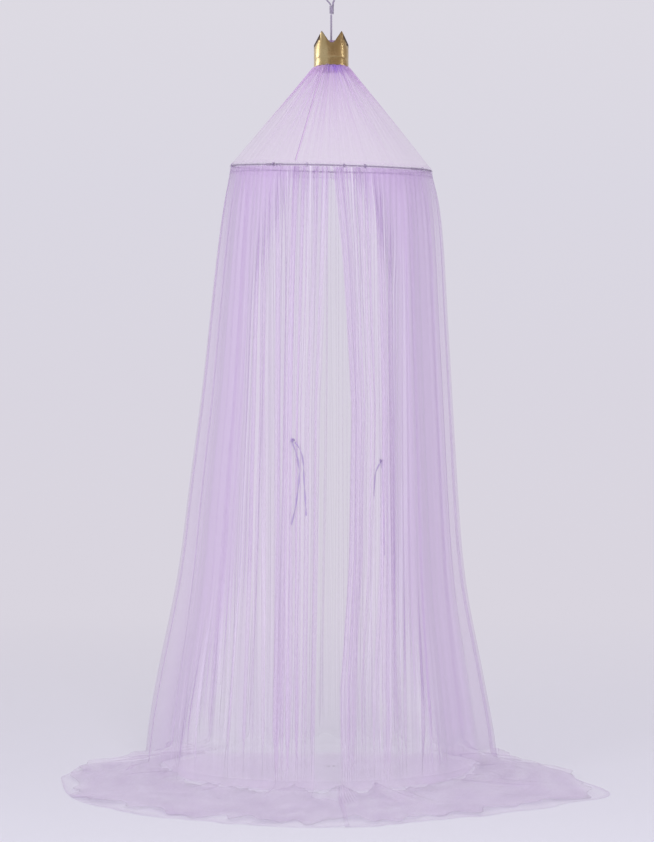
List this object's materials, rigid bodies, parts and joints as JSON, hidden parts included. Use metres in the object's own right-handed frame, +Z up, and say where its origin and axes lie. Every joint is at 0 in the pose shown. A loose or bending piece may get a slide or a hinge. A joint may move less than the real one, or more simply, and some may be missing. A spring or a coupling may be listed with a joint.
{
  "type": "bed crown canopy",
  "caption": "Hanging bed canopy: a tulle cone and pleated skirt on a thin hoop, gathered under a pointed crown, with curtains that part at the front and a hem that pools on the floor.",
  "frame": {"origin": "inside of the top of the hanging loop, where a ceiling hook bears", "axes": "+Z up along the hanging cord, -Y towards the front opening between the two curtains, +X to its right"},
  "size_m": [1.5892, 1.1538, 2.3545],
  "materials": {
    "cord": "matte",
    "tulle": "matte",
    "thread": "matte",
    "tape": "matte",
    "gold": "satin",
    "backing": "matte",
    "rod": "satin"
  },
  "bodies": {
    "hanging_eye": {"hanging_loop": "cord", "loop_knot": "cord", "loop_tail": "cord"},
    "canopy": {"hanging_cord": "cord", "stop_knot": "cord", "net_neck": "tulle", "neck_binding": "thread", "top_net": "tulle", "top_net_seam": "thread", "hoop_rod_1": "rod", "hoop_rod_2": "rod", "hoop_rod_3": "rod", "hoop_rod_4": "rod", "hoop_sleeve_1": "rod", "hoop_sleeve_2": "rod", "hoop_sleeve_3": "rod", "hoop_sleeve_4": "rod", "hoop_casing": "tulle", "skirt_back": "tulle", "skirt_left": "tulle", "skirt_right": "tulle", "curtain_left": "tulle", "curtain_right": "tulle", "floor_fold_left": "tulle", "floor_fold_right": "tulle", "floor_fold_back": "tulle"},
    "crown": {"crown_band": "gold", "crown_lining": "backing"},
    "front_left": {"front_panel_left": "tulle", "tie_knot_left": "tape", "tie_tail_long_left": "tape", "tie_tail_short_left": "tape"},
    "front_right": {"front_panel_right": "tulle", "tie_knot_right": "tape", "tie_tail_long_right": "tape", "tie_tail_short_right": "tape"}
  },
  "joints": [
    {"name": "canopy_turn", "type": "hinge", "parent": "hanging_eye", "child": "canopy", "pos_m": [0, 0, -0.0905], "axis": [0, 0, 1], "range_deg": [-180, 180]},
    {"name": "crown_lift", "type": "slide", "parent": "canopy", "child": "crown", "axis": [0, 0, 1], "range_m": [0, 0.08]},
    {"name": "left_curtain_draw", "type": "hinge", "parent": "canopy", "child": "front_left", "pos_m": [-0.1184, -0.2782, -0.5708], "axis": [0, 1, 0], "range_deg": [0, 12], "deforming": ["curtain_left"]},
    {"name": "right_curtain_draw", "type": "hinge", "parent": "canopy", "child": "front_right", "pos_m": [0.1468, -0.2649, -0.5775], "axis": [0, -1, 0], "range_deg": [0, 12], "deforming": ["curtain_right"]}
  ]
}
